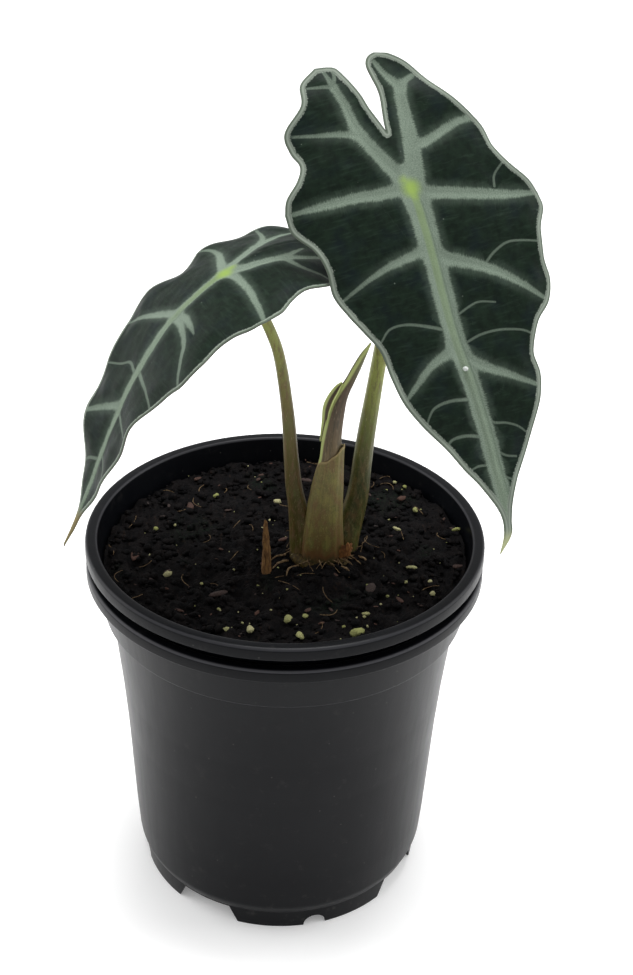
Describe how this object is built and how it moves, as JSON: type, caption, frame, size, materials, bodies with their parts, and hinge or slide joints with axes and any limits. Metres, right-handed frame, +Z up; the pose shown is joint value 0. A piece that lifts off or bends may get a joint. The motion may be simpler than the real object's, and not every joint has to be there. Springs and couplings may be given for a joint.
{
  "type": "potted alocasia polly",
  "caption": "Young arrow-leaved house plant with dark, pale-veined blades on bare stalks, in two nested black nursery pots with soil.",
  "frame": {"origin": "middle of the bottom of the bounding box, on the plane that the outer pot's feet stand on", "axes": "+Z up, -Y towards the front of the plant, +X to the right seen from the front"},
  "size_m": [0.1712, 0.1554, 0.3368],
  "materials": {
    "pot": "black moulded plastic with a soft sheen",
    "soil": "moist dark potting mix, crumbly",
    "leaf": "dark green, satin, with wide pale grey-green veins and margin",
    "stalk": "olive green with mauve-brown mottling, satin",
    "sheath": "green to tan with fine lengthwise lines",
    "young_leaf": "mauve-brown with yellow-green edges",
    "dry_skin": "dry, brown, papery",
    "root": "pale, matt",
    "perlite": "chalky, off-white to yellow",
    "bark": "rough brown bark"
  },
  "bodies": {
    "root": {"bark_chip_1": "bark", "bark_chip_2": "bark", "bark_chip_3": "bark", "bark_chip_4": "bark", "bark_chip_5": "bark", "bark_chip_6": "bark", "bark_chip_7": "bark", "corm": "stalk", "dry_stub": "dry_skin", "inner_pot": "pot", "leaf_sheath": "sheath", "left_leaf": "leaf", "left_petiole": "stalk", "new_leaf": "young_leaf", "outer_pot": "pot", "perlite_1": "perlite", "perlite_10": "perlite", "perlite_11": "perlite", "perlite_12": "perlite", "perlite_13": "perlite", "perlite_14": "perlite", "perlite_15": "perlite", "perlite_16": "perlite", "perlite_17": "perlite", "perlite_18": "perlite", "perlite_19": "perlite", "perlite_2": "perlite", "perlite_20": "perlite", "perlite_3": "perlite", "perlite_4": "perlite", "perlite_5": "perlite", "perlite_6": "perlite", "perlite_7": "perlite", "perlite_8": "perlite", "perlite_9": "perlite", "right_leaf": "leaf", "right_petiole": "stalk", "sheath_scale": "dry_skin", "soil": "soil", "surface_root_1": "root", "surface_root_2": "root", "surface_root_3": "root", "surface_root_4": "root", "surface_root_5": "root"}
  },
  "joints": []
}
